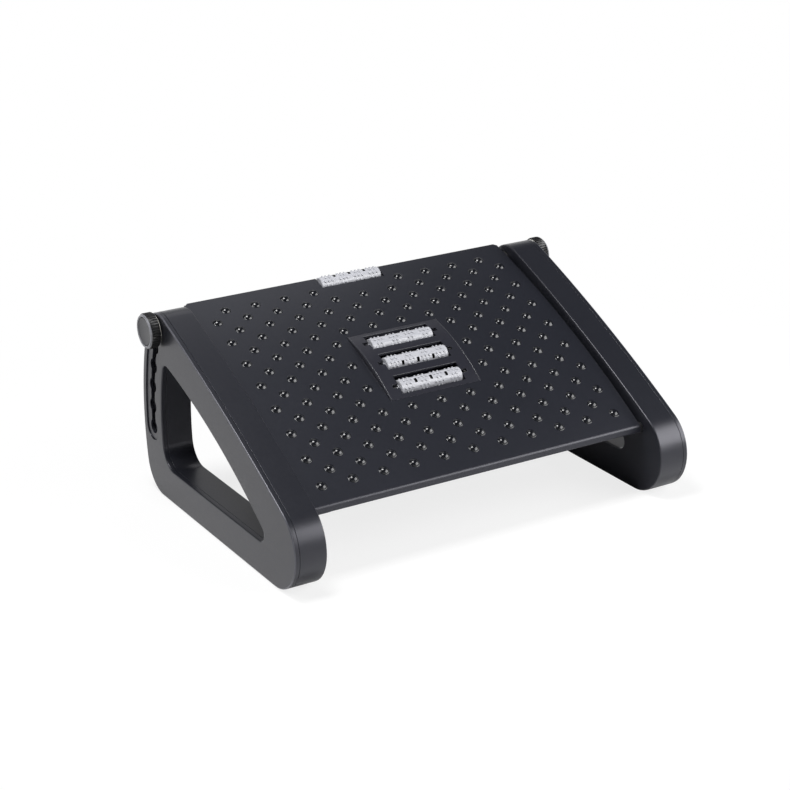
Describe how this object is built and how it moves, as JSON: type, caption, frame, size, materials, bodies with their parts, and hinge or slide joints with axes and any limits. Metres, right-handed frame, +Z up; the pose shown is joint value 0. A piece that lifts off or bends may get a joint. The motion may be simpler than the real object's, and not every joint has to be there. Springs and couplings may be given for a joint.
{
  "type": "tilting under desk footrest",
  "caption": "Under desk footrest with a bumpy convex platform that tilts between hollow side legs, locked by knurled knobs in scalloped slots, with massage rollers in the platform.",
  "frame": {"origin": "on the floor under the middle of the object's bounding box", "axes": "+X to the user's left-to-right width seen from the front with the right leg at +X, +Y towards the platform's high rear edge, +Z up"},
  "size_m": [0.4772, 0.33, 0.2029],
  "materials": {
    "leg_plastic": "fine satin moulded face",
    "deck_plastic": "satin, glossy on the bumps",
    "cassette_plastic": "satin",
    "knob_plastic": "fine knurl on the side",
    "cap_plastic": "satin",
    "roller_plastic": "pale, slightly glossy",
    "foot_rubber": "matt",
    "nylon": "natural",
    "black_nylon": "matt",
    "bright_steel": "turned",
    "black_steel": "blackened",
    "brass": "knurled insert"
  },
  "bodies": {
    "legs": {"leg_shell_left": "leg_plastic", "leg_cover_left": "leg_plastic", "cover_screw_left_1": "black_steel", "cover_screw_left_2": "black_steel", "cover_screw_left_3": "black_steel", "cover_screw_left_4": "black_steel", "foot_front_left": "foot_rubber", "foot_rear_left": "foot_rubber", "pivot_bush_left": "nylon", "leg_shell_right": "leg_plastic", "leg_cover_right": "leg_plastic", "cover_screw_right_1": "black_steel", "cover_screw_right_2": "black_steel", "cover_screw_right_3": "black_steel", "cover_screw_right_4": "black_steel", "foot_front_right": "foot_rubber", "foot_rear_right": "foot_rubber", "pivot_bush_right": "nylon"},
    "platform": {"pivot_bolt_left": "bright_steel", "pivot_washer_left": "black_nylon", "stud_washer_left": "black_nylon", "pivot_insert_left": "brass", "stud_insert_left": "brass", "pivot_bolt_right": "bright_steel", "pivot_washer_right": "black_nylon", "stud_washer_right": "black_nylon", "pivot_insert_right": "brass", "stud_insert_right": "brass", "platform_deck": "deck_plastic", "roller_cassette": "cassette_plastic", "cassette_screw_1": "black_steel", "cassette_screw_2": "black_steel", "cassette_screw_3": "black_steel", "cassette_screw_4": "black_steel", "axle_rear": "bright_steel", "axle_middle": "bright_steel", "axle_front": "bright_steel", "axle_edge": "bright_steel"},
    "washer_left": {"knob_washer_left": "nylon"},
    "washer_right": {"knob_washer_right": "nylon"},
    "knob_left": {"knob_left": "knob_plastic", "knob_cap_left": "cap_plastic", "knob_stud_left": "bright_steel"},
    "knob_right": {"knob_right": "knob_plastic", "knob_cap_right": "cap_plastic", "knob_stud_right": "bright_steel"},
    "roller_rear": {"roller_rear": "roller_plastic"},
    "roller_middle": {"roller_middle": "roller_plastic"},
    "roller_front": {"roller_front": "roller_plastic"},
    "roller_edge": {"roller_edge": "roller_plastic"}
  },
  "joints": [
    {"name": "platform_tilt", "type": "hinge", "parent": "legs", "child": "platform", "pos_m": [0, -0.1285, 0.071], "axis": [1, 0, 0], "range_deg": [-24.5, 0]},
    {"name": "knob_slide_left", "type": "slide", "parent": "platform", "child": "washer_left", "axis": [-1, 0, 0], "range_m": [-0.0015, 0]},
    {"name": "knob_turn_left", "type": "hinge", "parent": "washer_left", "child": "knob_left", "pos_m": [-0.23, 0.11861, 0.18466], "axis": [-1, 0, 0], "range_deg": [-432, 0]},
    {"name": "knob_slide_right", "type": "slide", "parent": "platform", "child": "washer_right", "axis": [1, 0, 0], "range_m": [-0.0015, 0]},
    {"name": "knob_turn_right", "type": "hinge", "parent": "washer_right", "child": "knob_right", "pos_m": [0.23, 0.11861, 0.18466], "axis": [1, 0, 0], "range_deg": [-432, 0]},
    {"name": "roller_spin_rear", "type": "hinge", "parent": "platform", "child": "roller_rear", "pos_m": [0, 0.0237, 0.15616], "axis": [1, 0, 0], "continuous": true},
    {"name": "roller_spin_middle", "type": "hinge", "parent": "platform", "child": "roller_middle", "pos_m": [0, -0.00519, 0.14503], "axis": [1, 0, 0], "continuous": true},
    {"name": "roller_spin_front", "type": "hinge", "parent": "platform", "child": "roller_front", "pos_m": [0, -0.03208, 0.12966], "axis": [1, 0, 0], "continuous": true},
    {"name": "roller_spin_edge", "type": "hinge", "parent": "platform", "child": "roller_edge", "pos_m": [0, 0.12768, 0.19345], "axis": [1, 0, 0], "continuous": true}
  ],
  "couplings": [
    {"joint": "knob_turn_left", "follows": "knob_slide_left", "rad_per_m": 5026.5},
    {"joint": "knob_turn_right", "follows": "knob_slide_right", "rad_per_m": 5026.5}
  ]
}
